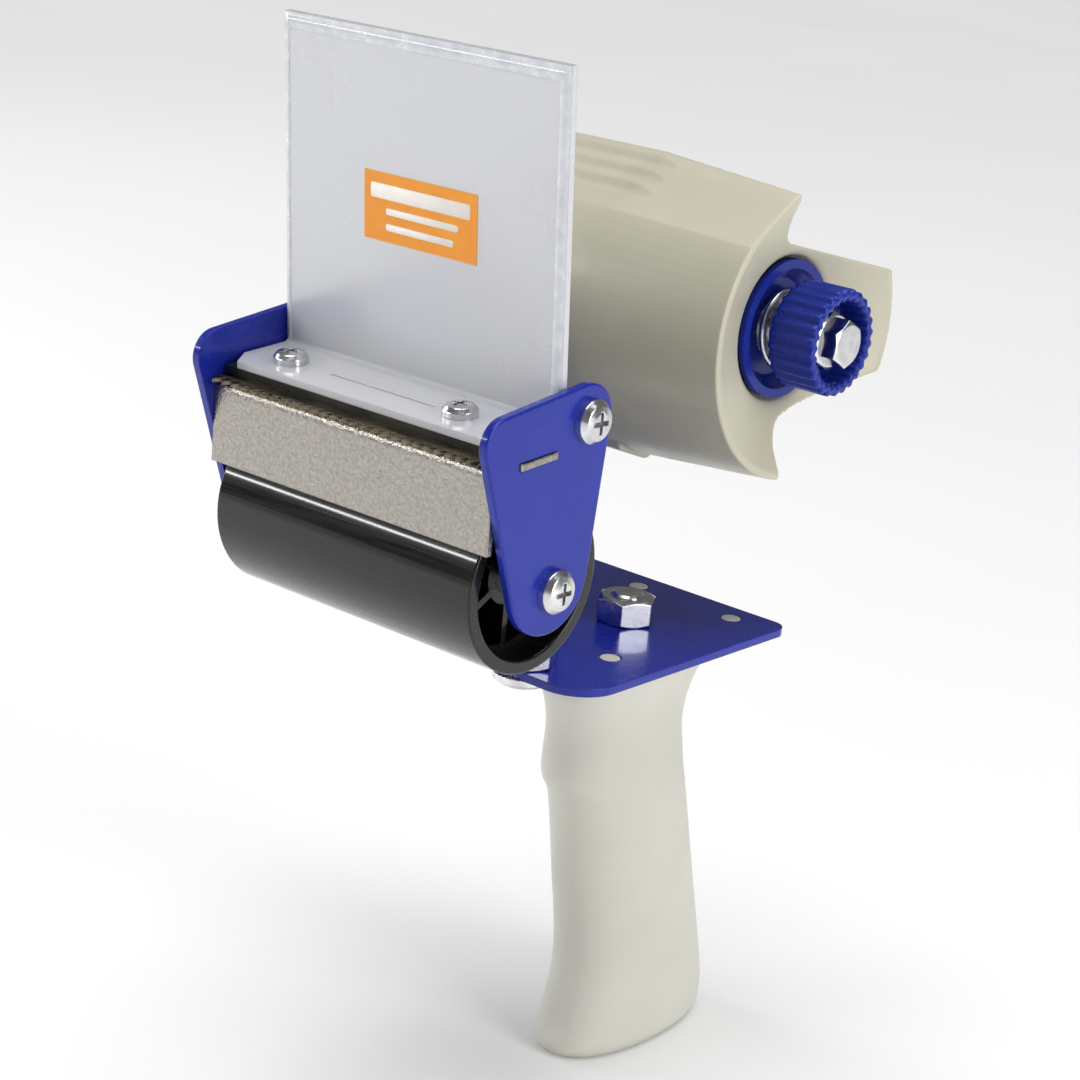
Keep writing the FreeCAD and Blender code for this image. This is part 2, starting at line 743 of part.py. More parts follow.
def make_tape_hub():
    """Tapered body that carries the roll: a broad front, a top and a bottom lobe and a rear wing."""
    body = new_body("tape_hub")
    bore = "(spindle_diameter / 2 + running_gap)"
    revolve(body, [
        ("hub_far", bore), ("hub_far", "hub_radius"), ("hub_taper_from", "hub_radius"),
        ("hub_near", "hub_near_radius"), ("hub_near", "hub_near_radius - hub_lip"),
        ("seat_x + 2", "seat_radius + 1"), ("seat_x + 1.2", "seat_radius"), ("seat_x", "seat_radius"),
        ("seat_x", "well_radius"), ("well_x", "well_radius"), ("well_x", bore),
    ])
    beyond, length = "hub_radius + 12", "hub_near - hub_far"
    upper = new_sketch(body, "YZ_Plane", "hub_far")
    add_hull(upper, [("0", "29.2", "8.9"), (beyond, "9.2", "1"),
                     (beyond, beyond, "1"), ("-7.9", beyond, "1")])
    pocket(body, upper, length, forward=True)
    lower = new_sketch(body, "YZ_Plane", "hub_far")
    add_hull(lower, [("3.6", "-29.2", "8.6"), ("-4", f"-({beyond})", "1"),
                     (beyond, f"-({beyond})", "1"), (beyond, "-9.2", "1")])
    pocket(body, lower, length, forward=True)
    flatten_hub_top(body)
    hollow_hub(body)
    tab = new_sketch(body, "YZ_Plane", "hub_far")
    add_hull(tab, [("-17.4", "-32.8", "2"), ("-8", "-36.2", "2")])
    pad(body, tab, "rib_length")
    return keep(body)


def facet_sketch(body, x, radius):
    """The sliver between the round surface and the flat on top of the hub."""
    sketch = new_sketch(body, "YZ_Plane", x)
    corners = []
    beyond = f"({radius} + 5)"
    around = (("facet_from", radius), ("facet_from", beyond), ("facet_to", beyond), ("facet_to", radius))
    for turn, reach in around:
        corners.append((f"{reach} * cos({turn})", f"{reach} * sin({turn})"))
    add_polygon(sketch, corners)
    return sketch


def flatten_hub_top(body):
    """The flat facet along the top lobe and the three tapering grooves in it."""
    straight = facet_sketch(body, "hub_far", "hub_radius")
    pocket(body, straight, "hub_taper_from - hub_far", forward=True)
    before = body.Shape.Volume
    tapered = body.newObject("PartDesign::SubtractiveLoft", "tape_hub_facet")
    tapered.Profile = facet_sketch(body, "hub_taper_from", "hub_radius")
    tapered.Sections = [facet_sketch(body, "hub_near", "hub_near_radius")]
    doc.recompute()
    require_less(body, before, tapered)
    straight, tapering = new_sketch(body, "YZ_Plane", "hub_far"), []
    centre, half = "(facet_from + facet_to) / 2", "(facet_to - facet_from) / 2"
    for turn in (111.5, 119.3, 127.2):
        middle = f"(hub_radius * cos({half}) / cos({turn} - {centre}) + 1.4)"
        across, up = f"{middle} * cos({turn})", f"{middle} * sin({turn})"
        add_circle(straight, across, up, "groove_diameter")
        tapering.append((across, up))
    pocket(body, straight, "hub_taper_from - hub_far", forward=True)
    for across, up in tapering:
        before = body.Shape.Volume
        end = body.newObject("PartDesign::SubtractiveCone", "tape_hub_groove_end")
        bind(end, "Radius1", "groove_diameter / 2")
        bind(end, "Radius2", "groove_end / 2")
        bind(end, "Height", "groove_taper")
        bind(end, "Placement", frame("hub_taper_from - 0.1", across, up, "0; 1; 0", "90"))
        doc.recompute()
        require_less(body, before, end)


def hollow_hub(body):
    """Core out the front of the hub from its far face, between the barrel and the outer wall."""
    sketch = new_sketch(body, "XY_Plane")
    add_polygon(sketch, [
        ("hub_far", "-barrel_radius"), ("hub_far", "hub_wall - hub_radius"),
        ("hub_taper_from", "hub_wall - hub_radius"), ("hollow_to", "hub_wall - hub_radius + 1.6"),
        ("hollow_to", "-barrel_radius"),
    ])
    doc.recompute()
    before = body.Shape.Volume
    groove = body.newObject("PartDesign::Groove", "tape_hub_hollow")
    groove.Profile = sketch
    groove.ReferenceAxis = (origin_part(body, "X_Axis"), [""])
    groove.Midplane = True
    bind(groove, "Angle", "hollow_angle")
    doc.recompute()
    require_less(body, before, groove)


def make_spindle():
    """Stud fixed in the side plate: the hub turns on it and the tension bolt screws into it."""
    body = new_body("hub_spindle")
    shoulder, tapped = f"-{INNER}", "(4 + running_gap)"
    revolve(body, [
        (f"-{OUTER} - 10", "0"), (f"-{OUTER} - 10", "spindle_thread / 2 - 0.6"),
        (f"-{OUTER} - 9.4", "spindle_thread / 2"), (shoulder, "spindle_thread / 2"),
        (shoulder, "spindle_diameter / 2"), ("spindle_near", "spindle_diameter / 2"),
        ("spindle_near", tapped), ("spindle_tapped_to", tapped), ("spindle_tapped_to", "0"),
    ])
    keep(body)
    outside = frame(f"-{OUTER}", axis="0; 0; 1", angle="180")
    keep(hex_nut("spindle_nut", outside, "spindle_nut_flats", "8", "spindle_hole"))
    bore = "spindle_diameter + 2 * running_gap"
    keep(washer("hub_washer", frame(f"-{INNER}"), "26", bore, "plate_gap / 2 + hub_far - 0.1"))


def make_brake():
    keep(washer("friction_ring", frame("seat_x"), "2 * seat_radius - 0.4", "2 * well_radius + 0.2", "0.8"))
    flange = new_body("pressure_flange")
    bore = "(spindle_diameter / 2 + running_gap)"
    revolve(flange, [
        ("well_x + 0.6", bore), ("spring_from", bore), ("spring_from", "11.6"), ("seat_x + 1.5", "13.8"),
        ("seat_x + 2.4", "14.4"), ("seat_x + 2.4", "16.6"), ("seat_x + 0.9", "16.6"),
        ("seat_x + 0.9", "15"), ("well_x + 0.6", "12.6"),
    ])
    keep(flange)


def make_spring():
    """Compression spring between the flange and the knob."""
    helix = doc.addObject("Part::Helix", "spring_path")
    start = "spring_from + spring_wire / 2"
    bind(helix, "Radius", "spring_radius")
    bind(helix, "Height", "spring_to - spring_from - spring_wire - 0.1")
    bind(helix, "Pitch", "(spring_to - spring_from - spring_wire - 0.1) / 2.3")
    bind(helix, "Placement", frame(start, axis="0; 1; 0", angle="90"))
    wire = doc.addObject("Part::Circle", "spring_section")
    bind(wire, "Radius", "spring_wire / 2")
    bind(wire, "Placement", frame(start, z="-spring_radius", angle="90"))
    doc.recompute()
    sweep = doc.addObject("Part::Sweep", "tension_spring")
    sweep.Label = "tension_spring"
    sweep.Sections = [wire]
    sweep.Spine = (helix, [f"Edge{n}" for n in range(1, len(helix.Shape.Edges) + 1)])
    sweep.Solid = True
    sweep.Frenet = True
    doc.recompute()
    keep(sweep)
    keep(washer("spring_washer", frame("spring_to - 0.1"), "21.2", "8.6", "1"))


def make_knob():
    """Fluted cap, the nut clamped in its recess and the bolt through both."""
    body = new_body("tension_knob")
    web, floor = "(spring_to + 1)", "(knob_near - knob_recess)"
    hollow = "(knob_radius - knob_wall)"
    revolve(body, [
        (web, "4.05"), (web, "10.9"), ("knob_far", "10.9"), ("knob_far", "knob_radius"),
        ("knob_near", "knob_radius"), ("knob_near", hollow), (floor, hollow), (floor, "4.05"),
    ])
    outer = new_sketch(body, "YZ_Plane", "knob_near")
    add_circle(outer, "0", "knob_radius + 0.2", "2")
    flute = pocket(body, outer, "knob_near - knob_far")
    polar(body, [flute], "flute_count")
    inner = new_sketch(body, "YZ_Plane", "knob_near")
    half_step = "180 / flute_count"
    add_circle(inner, f"({hollow} - 0.2) * sin({half_step})", f"({hollow} - 0.2) * cos({half_step})", "1.8")
    scallop = pocket(body, inner, "7")
    polar(body, [scallop], "flute_count")
    keep(body)
    seat = "head_near - bolt_head"
    keep(hex_bolt("tension_bolt", frame(seat), "head_flats", "bolt_head", "8", seat))
    keep(hex_nut("knob_nut", frame(floor), "nut_flats", f"{seat} - {floor}", "8.4"))


# ---------------------------------------------------------------- grip

# (behind the roller axis, half length, half width) of ovals at equal steps down from the flange
GRIP_OVALS = [
    (75.8, 27.5, 17.3),
    (76.1, 24.6, 14.6),
    (75.3, 20.0, 13.2),
    (76.1, 21.3, 13.3),
    (79.4, 20.8, 13.3),
    (81.8, 21.2, 13.3),
    (84.3, 21.7, 13.3),
    (86.7, 22.1, 13.4),
    (89.1, 22.8, 13.5),
    (90.8, 24.3, 13.6),
    (89.7, 27.6, 13.7),
    (88.6, 29.5, 13.7),
]


def grip_loft(name, first, inset):
    """A smooth solid through the ovals from number first on, shrunk all round by inset."""
    ovals = []
    for number, (back, half_length, half_width) in enumerate(GRIP_OVALS):
        if number < first:
            continue
        oval = doc.addObject("Part::Ellipse", f"{name}_oval_{number}")
        bind(oval, "MajorRadius", f"{half_length} - {inset}")
        bind(oval, "MinorRadius", f"{half_width} - {inset}")
        height = f"-roller_below - floor_below - oval_start - {number} * oval_step"
        bind(oval, "Placement", frame("grip_x", f"{back} - roller_ahead", height, "0; 0; 1", "90"))
        ovals.append(oval)
    loft = doc.addObject("Part::Loft", name)
    loft.Sections = ovals
    loft.Solid = True
    doc.recompute()
    return loft


def make_grip():
    """Moulded handle: flange and pegs under the plate, oval grip, hollow and open at the foot."""
    under = "-roller_below - floor_below - sheet"
    top = new_body("grip_top", frame("grip_x", "grip_y - roller_ahead", under))
    flange = new_sketch(top, "XY_Plane")
    add_hull(flange, [("-10", "-19", "8"), ("10", "-19", "8"), ("10", "19", "8"), ("-10", "19", "8")])
    pad(top, flange, "grip_flange", backward=True)
    pegs = new_sketch(top, "XY_Plane")
    for side_x in ("-", ""):
        for side_y in ("-", ""):
            add_circle(pegs, f"{side_x}peg_x", f"{side_y}peg_y", "peg_diameter")
    pad(top, pegs, "sheet + 0.1")
    outer = grip_loft("grip_outside", 0, "0")
    inner = grip_loft("grip_inside", 1, "grip_wall")
    solid = doc.addObject("Part::Fuse", "grip_solid")
    solid.Base, solid.Tool = top, outer
    hollow = doc.addObject("Part::Cut", "grip_hollow")
    hollow.Base, hollow.Tool = solid, inner
    bore = doc.addObject("Part::Cylinder", "grip_bore")
    bind(bore, "Radius", "4.1")
    bind(bore, "Height", "30")
    bind(bore, "Placement", frame("grip_x", "grip_y - roller_ahead", "-roller_below - floor_below - 30"))
    drilled = doc.addObject("Part::Cut", "grip_drilled")
    drilled.Base, drilled.Tool = hollow, bore
    below = doc.addObject("Part::Box", "grip_foot_cut")
    bind(below, "Length", "60")
    bind(below, "Width", "100")
    bind(below, "Height", "20")
    foot = "-roller_below - floor_below - grip_length"
    bind(below, "Placement", frame("grip_x - 30", "88 - roller_ahead - 50", f"{foot} - 20"))
    grip = doc.addObject("Part::Cut", "handle")
    grip.Base, grip.Tool = drilled, below
    grip.Label = "handle"
    doc.recompute()
    return keep(grip)


def make_plate_fasteners():
    """M8 bolts up through the handle plate with their nuts on top of it."""
    top = "-roller_below - floor_below"
    nut = frame("grip_x", "grip_y - roller_ahead", top, "0; 1; 0", "-90")
    keep(hex_nut("handle_nut", nut, "nut_flats", "nut_height", "nut_bore"))
    roof = "(oval_start + oval_step)"
    bolt = frame("grip_x", "grip_y - roller_ahead", f"{top} - {roof}", "0; 1; 0", "90")
    keep(hex_bolt("handle_bolt", bolt, "nut_flats", "5.3", "bolt_shank", f"{roof} + 7.3"))
    front_nut = frame("plate_bolt_x", "plate_bolt_y - roller_ahead", top, "0; 1; 0", "-90")
    keep(hex_nut("plate_nut", front_nut, "nut_flats", "nut_height", "nut_bore"))
    under = frame("plate_bolt_x", "plate_bolt_y - roller_ahead", f"{top} - sheet", "0; 1; 0", "90")
    keep(pan_screw("plate_screw", under, "bolt_shank", "9", "14", "3"))


# ---------------------------------------------------------------- build and export

make_main_frame()
make_cheek_plate()
make_roller()
cross_rod("tie_bar", frame(y="tie_back - roller_ahead", z="tie_up - roller_below"), "tie_diameter")
end_screws("tie_bar_screws", "tie_back", "tie_up")
make_blade_bracket()
make_blade()
make_clamp_bar()
make_guard()
make_label()
make_guard_fasteners()
make_tape_hub()
make_spindle()
make_brake()
make_spring()
make_knob()
make_grip()
make_plate_fasteners()
doc.recompute()

for item in doc.Objects:
    if "Invalid" in item.State or "Error" in item.State:
        raise RuntimeError(f"{item.Label} did not recompute: {item.State}")
for node in NODES:
    if node.Shape.isNull() or not node.Shape.isValid() or not node.Shape.Solids:
        raise RuntimeError(f"{node.Label} has no valid solid")

os.makedirs("parts", exist_ok=True)
for node in NODES:
    node.Shape.exportStep(f"parts/{node.Label}.step")
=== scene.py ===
import json
import math

import bmesh
import bpy
from mathutils import Matrix, Vector


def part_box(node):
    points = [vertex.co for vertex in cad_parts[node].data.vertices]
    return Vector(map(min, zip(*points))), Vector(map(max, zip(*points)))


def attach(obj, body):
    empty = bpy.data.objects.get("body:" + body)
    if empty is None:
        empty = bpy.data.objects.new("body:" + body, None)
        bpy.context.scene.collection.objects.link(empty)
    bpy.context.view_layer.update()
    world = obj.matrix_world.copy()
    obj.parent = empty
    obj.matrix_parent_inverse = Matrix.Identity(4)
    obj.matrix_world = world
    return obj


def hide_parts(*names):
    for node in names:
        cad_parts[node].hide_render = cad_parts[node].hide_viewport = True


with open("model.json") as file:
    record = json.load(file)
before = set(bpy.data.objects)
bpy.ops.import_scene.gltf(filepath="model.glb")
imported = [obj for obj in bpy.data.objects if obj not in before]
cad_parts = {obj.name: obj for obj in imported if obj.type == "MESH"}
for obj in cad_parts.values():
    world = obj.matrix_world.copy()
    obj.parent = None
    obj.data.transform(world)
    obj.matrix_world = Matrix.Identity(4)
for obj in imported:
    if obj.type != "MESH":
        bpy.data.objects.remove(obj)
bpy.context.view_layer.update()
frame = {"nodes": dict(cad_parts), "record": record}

NODES = frame["nodes"]
# points less than this many metres apart in height count as on one plane
SAME_PLANE = 0.00001


# ---------------------------------------------------------------- material helpers

def new_material(name, **settings):
    """A material and its Principled shader; settings are socket names with _ for spaces."""
    material = bpy.data.materials.new(name)
    material.use_nodes = True
    shader = material.node_tree.nodes["Principled BSDF"]
    for socket, number in settings.items():
        shader.inputs[socket.replace("_", " ")].default_value = number
    return material, shader


def add_node(material, kind, inputs=None, **settings):
    """A node with its settings made and its input sockets set or linked."""
    node = material.node_tree.nodes.new(kind)
    for setting, choice in settings.items():
        setattr(node, setting, choice)
    for socket, source in (inputs or {}).items():
        if isinstance(source, bpy.types.NodeSocket):
            material.node_tree.links.new(source, node.inputs[socket])
        else:
            node.inputs[socket].default_value = source
    return node


def join(material, source, target):
    """Link an output socket to an input socket."""
    material.node_tree.links.new(source, target)


def place(material, stretch=(1, 1, 1)):
    """Object coordinates in metres, scaled along each axis."""
    coordinates = add_node(material, "ShaderNodeTexCoord")
    mapping = add_node(material, "ShaderNodeMapping", {
        "Vector": coordinates.outputs["Object"], "Scale": stretch})
    return mapping.outputs["Vector"]


def noise(material, size, detail=3, stretch=(1, 1, 1)):
    """A noise whose lumps are about size metres across."""
    node = add_node(material, "ShaderNodeTexNoise", {
        "Vector": place(material, stretch), "Scale": 1 / size, "Detail": detail})
    return node.outputs["Fac"]


def spread(material, source, low, high, start=0.3, end=0.7):
    """The source's range from start to end spread from low to high."""
    node = add_node(material, "ShaderNodeMapRange", {
        "Value": source, "From Min": start, "From Max": end, "To Min": low, "To Max": high})
    return node.outputs["Result"]


def tint(material, source, *stops):
    """A colour ramp through (position, (r, g, b)) stops."""
    ramp = add_node(material, "ShaderNodeValToRGB", {"Fac": source})
    elements = ramp.color_ramp.elements
    while len(elements) < len(stops):
        elements.new(0.5)
    for element, (position, colour) in zip(elements, stops):
        element.position = position
        element.color = (*colour, 1)
    return ramp.outputs["Color"]


def bump(material, shader, height, depth, edge=0):
    """Raise the surface by depth metres where height is 1, over edges rounded by edge metres."""
    node = add_node(material, "ShaderNodeBump", {"Height": height, "Distance": depth})
    if edge:
        rounded = add_node(material, "ShaderNodeBevel", {"Radius": edge}, samples=6)
        join(material, rounded.outputs["Normal"], node.inputs["Normal"])
    join(material, node.outputs["Normal"], shader.inputs["Normal"])


# ---------------------------------------------------------------- materials

def blue_paint():
    """Glossy powder coat over sheet metal."""
    material, shader = new_material(
        "blue_enamel", Specular_IOR_Level=0.2, Coat_Weight=0.35, Coat_Roughness=0.05)
    join(material, tint(material, noise(material, 0.03), (0.3, (0.009, 0.019, 0.27)),
                        (0.7, (0.013, 0.026, 0.32))), shader.inputs["Base Color"])
    join(material, spread(material, noise(material, 0.006), 0.2, 0.32), shader.inputs["Roughness"])
    bump(material, shader, noise(material, 0.0016, 2), 0.00002, 0.0006)
    return material


def nickel():
    """Bright plating with a fine crinkle that sparkles."""
    material, shader = new_material("sparkling_nickel", Metallic=1.0)
    crinkle = noise(material, 0.0005, 2)
    join(material, tint(material, noise(material, 0.0009, 4), (0.3, (0.30, 0.28, 0.25)),
                        (0.7, (0.42, 0.40, 0.36))), shader.inputs["Base Color"])
    join(material, spread(material, noise(material, 0.0011, 2), 0.18, 0.32), shader.inputs["Roughness"])
    bump(material, shader, crinkle, 0.00013, 0.0006)
    return material


def blade_steel():
    """Dark hardened steel, streaked along the blade."""
    material, shader = new_material("blade_steel", Metallic=1.0)
    streaks = noise(material, 0.0012, 3, (0.1, 1, 1))
    join(material, tint(material, streaks, (0.3, (0.07, 0.06, 0.04)), (0.7, (0.26, 0.22, 0.14))),
         shader.inputs["Base Color"])
    join(material, spread(material, streaks, 0.2, 0.4), shader.inputs["Roughness"])
    bump(material, shader, streaks, 0.00003, 0.0003)
    return material


def dark_steel():
    """Satin bar that clamps the blade."""
    material, shader = new_material("dark_steel", Metallic=0.6)
    join(material, tint(material, noise(material, 0.008), (0.3, (0.020, 0.019, 0.017)),
                        (0.7, (0.045, 0.042, 0.036))), shader.inputs["Base Color"])
    join(material, spread(material, noise(material, 0.002), 0.3, 0.5), shader.inputs["Roughness"])
    bump(material, shader, noise(material, 0.001), 0.00002)
    return material


def clear_plastic():
    """Frosted sheet: milky, glossy, with faint scuffs."""
    material, shader = new_material(
        "frosted_sheet", Base_Color=(0.84, 0.85, 0.88, 1), IOR=1.49, Transmission_Weight=0.35,
        Coat_Weight=0.4, Coat_Roughness=0.05)
    scuffs = noise(material, 0.02, 2)
    join(material, spread(material, scuffs, 0.24, 0.28), shader.inputs["Roughness"])
    bump(material, shader, noise(material, 0.005, 3), 0.000004, 0.0004)
    return material


def polished_edge():
    """The sheet's border, lighter than its face."""
    material, shader = new_material(
        "sheet_border", Base_Color=(0.84, 0.86, 0.90, 1), IOR=1.49, Transmission_Weight=0.2, Coat_Weight=0.5,
        Coat_Roughness=0.05)
    streaks = noise(material, 0.003, 2)
    join(material, tint(material, streaks, (0.3, (0.74, 0.76, 0.82)), (0.7, (0.88, 0.90, 0.93))),
         shader.inputs["Base Color"])
    join(material, spread(material, streaks, 0.15, 0.3), shader.inputs["Roughness"])
    return material


def label_orange():
    """Printed ground of the label."""
    material, shader = new_material("label_orange")
    join(material, tint(material, noise(material, 0.006), (0.3, (0.90, 0.31, 0.012)),
                        (0.7, (0.95, 0.35, 0.018))), shader.inputs["Base Color"])
    join(material, spread(material, noise(material, 0.001), 0.35, 0.5), shader.inputs["Roughness"])
    return material


def label_ink():
    """Pale ink of the label's plain bars."""
    material, shader = new_material("label_ink")
    join(material, tint(material, noise(material, 0.004), (0.3, (0.90, 0.84, 0.76)),
                        (0.7, (0.95, 0.92, 0.86))), shader.inputs["Base Color"])
    join(material, spread(material, noise(material, 0.001), 0.4, 0.55), shader.inputs["Roughness"])
    return material


def zinc():
    """Bright plating of the fasteners, with faint clouds."""
    material, shader = new_material("bright_zinc", Metallic=1.0)
    clouds = noise(material, 0.003, 4)
    join(material, tint(material, clouds, (0.3, (0.55, 0.56, 0.58)), (0.7, (0.78, 0.78, 0.78))),
         shader.inputs["Base Color"])
    join(material, spread(material, clouds, 0.12, 0.28), shader.inputs["Roughness"])
    bump(material, shader, noise(material, 0.0009, 3), 0.00002, 0.0004)
    return material


def black_plastic():
    """Glossy extruded tube with fine lengthwise streaks."""
    material, shader = new_material(
        "black_tube", Specular_IOR_Level=0.1, Coat_Weight=0.7, Coat_Roughness=0.09)
    streaks = noise(material, 0.0006, 4, (0.03, 1, 1))
    join(material, tint(material, streaks, (0.3, (0.004, 0.004, 0.004)), (0.7, (0.011, 0.011, 0.011))),
         shader.inputs["Base Color"])
    join(material, spread(material, streaks, 0.16, 0.42), shader.inputs["Roughness"])
    bump(material, shader, streaks, 0.00005, 0.0005)
    return material


def moulded(name, dark, light, rough, grain, depth, gloss=0.5):
    """Moulded plastic with soft colour clouds and a fine grain."""
    material, shader = new_material(
        name, Subsurface_Weight=0.06, Subsurface_Scale=0.002, Specular_IOR_Level=gloss)
    join(material, tint(material, noise(material, 0.04), (0.3, dark), (0.7, light)),
         shader.inputs["Base Color"])
    join(material, spread(material, noise(material, 0.009, 4), rough - 0.05, rough + 0.07),
         shader.inputs["Roughness"])
    bump(material, shader, noise(material, grain, 3), depth)
    return material


MATERIALS = {
    "blue_paint": blue_paint(),
    "nickel": nickel(),
    "blade_steel": blade_steel(),
    "dark_steel": dark_steel(),
    "clear_plastic": clear_plastic(),
    "label": label_orange(),
    "label_ink": label_ink(),
    "sheet_border": polished_edge(),
    "zinc": zinc(),
    "black_plastic": black_plastic(),
    "beige_plastic": moulded("hub_beige", (0.47, 0.45, 0.345), (0.52, 0.50, 0.39), 0.34, 0.0012, 0.00002),
    "blue_plastic": moulded(
        "knob_blue", (0.008, 0.020, 0.23), (0.012, 0.028, 0.29), 0.25, 0.0015, 0.00002, 0.25),
    "spring_steel": zinc(),
    "grip_plastic": moulded("grip_ivory", (0.56, 0.55, 0.48), (0.62, 0.61, 0.54), 0.42, 0.0010, 0.00003),
}


# ---------------------------------------------------------------- carried-over nodes

def melt(piece, voxel, rounds):
    """Rebuild the piece from small cells and smooth them, for the soft edges of a moulding."""
    cells = piece.modifiers.new("cells", "REMESH")
    cells.mode = "VOXEL"
    cells.voxel_size = voxel
    cells.use_smooth_shade = True
    smooth = piece.modifiers.new("melt", "SMOOTH")
    smooth.factor = 0.6
    smooth.iterations = rounds


SLOT_OF = {entry["node"]: entry["material_slot"] for entry in frame["record"]["subparts"]}
for name, piece in NODES.items():
    piece.data.materials.clear()
    piece.data.materials.append(MATERIALS[SLOT_OF[name]])

melt(NODES["tape_hub"], 0.0004, 4)


# ---------------------------------------------------------------- new pieces

def new_piece(name, shape, finish, slot, body, *nodes):
    """An object from a bmesh, with one of the finishes, that takes the place of the nodes."""
    mesh = bpy.data.meshes.new(name)
    bmesh.ops.recalc_face_normals(shape, faces=shape.faces)
    shape.to_mesh(mesh)
    shape.free()
    mesh.shade_smooth()
    mesh.materials.append(MATERIALS[finish])
    piece = bpy.data.objects.new(name, mesh)
    bpy.context.scene.collection.objects.link(piece)
    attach(piece, body)
    if nodes:
        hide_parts(*nodes)
    return piece


def bridge(shape, rings):
    """Join each ring of vertices to the next."""
    for ring, following in zip(rings, rings[1:]):
        for number, vertex in enumerate(ring):
            after = (number + 1) % len(ring)
            shape.faces.new((vertex, ring[after], following[after], following[number]))


MM_PER_M = 1000
# the grip's outline in mm: (below the handle's top, front, rear), both behind the roller's axis
GRIP_OUTLINE = (
    (2, 48.4, 103.2), (8, 49.6, 102.2), (15, 52.6, 98.4), (25, 55.5, 95.4), (35, 54.7, 97.5),
    (39, 55.6, 98.4), (43, 58.2, 99.5), (66, 62.8, 106), (90, 66.7, 112.8), (105, 63.7, 117),
    (111, 60.8, 116.5), (113, 62.8, 113.8),
)
# half its width in mm: (below the handle's top, half width)
GRIP_HALF_WIDTH = (
    (2, 17.6), (8, 16.2), (15, 14), (22, 13.2), (76, 13.4), (106, 13.9), (111, 13.6), (113, 12.2),
)
# depths of its rings: close together at the finger ledge and at the foot
GRIP_DEPTHS = (*range(2, 35, 3), *range(36, 46), *range(49, 109, 4), 109, 110, 111, 112, 112.6, 113)
GRIP_STEPS = 64
GRIP_WALL = 2.8
GRIP_HOLLOW_FROM = 13
# powers of the cosine and sine that make an oval; below 1 they square it off
GRIP_POWER_ACROSS = 0.86
GRIP_POWER_ALONG = 0.94
PEG_STEPS = 32


def between(table, at):
    """Number at one place on the smooth curve through a table of (place, number)."""
    last = len(table) - 1
    slopes = []
    for index in range(last + 1):
        before, after = table[max(index - 1, 0)], table[min(index + 1, last)]
        slopes.append((after[1] - before[1]) / (after[0] - before[0]))
    index = next(index for index in range(last) if at <= table[index + 1][0])
    (low, first), (high, second) = table[index], table[index + 1]
    gap = high - low
    share = (at - low) / gap
    rise = 3 * share ** 2 - 2 * share ** 3
    leaving = share * (1 - share) ** 2 * gap * slopes[index]
    arriving = share ** 2 * (share - 1) * gap * slopes[index + 1]
    return first + (second - first) * rise + leaving + arriving


def grip_ring(shape, below, inset):
    """A rounded-oval ring of vertices at a depth below the handle's top; both sizes in mm."""
    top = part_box("handle")[1].z
    middle = (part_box("handle")[0].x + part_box("handle")[1].x) / 2
    axis_y = (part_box("roller_axle")[0].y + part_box("roller_axle")[1].y) / 2
    front = between([(row[0], row[1]) for row in GRIP_OUTLINE], below) + inset
    rear = between([(row[0], row[2]) for row in GRIP_OUTLINE], below) - inset
    half_width = between(GRIP_HALF_WIDTH, below) - inset
    ring = []
    for step in range(GRIP_STEPS):
        turn = math.tau * step / GRIP_STEPS
        cosine, sine = math.cos(turn), math.sin(turn)
        across = math.copysign(abs(cosine) ** GRIP_POWER_ACROSS, cosine) * half_width
        along = math.copysign(abs(sine) ** GRIP_POWER_ALONG, sine) * (rear - front) / 2
        ring.append(shape.verts.new((
            middle + across / MM_PER_M,
            axis_y + ((front + rear) / 2 + along) / MM_PER_M,
            top - below / MM_PER_M)))
    return ring


def add_peg(shape, tips, top):
    """One peg with a rounded end at the height top, where the handle's peg has these vertices."""
    low = Vector((min(tip.x for tip in tips), min(tip.y for tip in tips), top))
    high = Vector((max(tip.x for tip in tips), max(tip.y for tip in tips), top))
    centre, radius = (low + high) / 2, (high.x - low.x) / 2
    rings = []
    # (share of the radius, metres below the end face)
    for share, drop in ((1, 0.0035), (1, 0.0003), (0.95, 0.0001), (0.85, 0)):
        ring = []
        for step in range(PEG_STEPS):
            turn = math.tau * step / PEG_STEPS
            out = Vector((share * radius * math.cos(turn), share * radius * math.sin(turn), -drop))
            ring.append(shape.verts.new(centre + out))
        rings.append(ring)
    bridge(shape, rings)
    shape.faces.new(rings[0])
    shape.faces.new(rings[-1])


def add_pegs(shape):
    """The handle's four pegs, which fill their holes in the floor plate."""
    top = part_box("handle")[1].z
    tips = [corner.co for corner in NODES["handle"].data.vertices if corner.co.z > top - SAME_PLANE]
    middle = sum(tips, Vector()) / len(tips)
    for side_x in (-1, 1):
        for side_y in (-1, 1):
            corner = [
                tip for tip in tips
                if (tip.x - middle.x) * side_x > 0 and (tip.y - middle.y) * side_y > 0]
            add_peg(shape, corner, top)


def make_grip():
    """Hollow moulded handle with its finger ledge, and the four pegs that show in the plate."""
    shape = bmesh.new()
    rings = [grip_ring(shape, below, 0) for below in GRIP_DEPTHS]
    rings += [
        grip_ring(shape, below, GRIP_WALL) for below in reversed(GRIP_DEPTHS) if below > GRIP_HOLLOW_FROM]
    bridge(shape, rings)
    shape.faces.new(rings[0])
    shape.faces.new(rings[-1])
    add_pegs(shape)
    grip = new_piece("grip_moulding", shape, "grip_plastic", "grip_plastic", "frame", "handle")
    smooth = grip.modifiers.new("smooth", "SUBSURF")
    smooth.levels = smooth.render_levels = 2
    return grip


KNOB_WAVES = 26
KNOB_WAVE_STEPS = 8
KNOB_WAVE_HALF_DEPTH = 0.00042
KNOB_WALL = 0.0023
KNOB_BORE = 0.0046
KNOB_WASHER_GAP = 0.0003


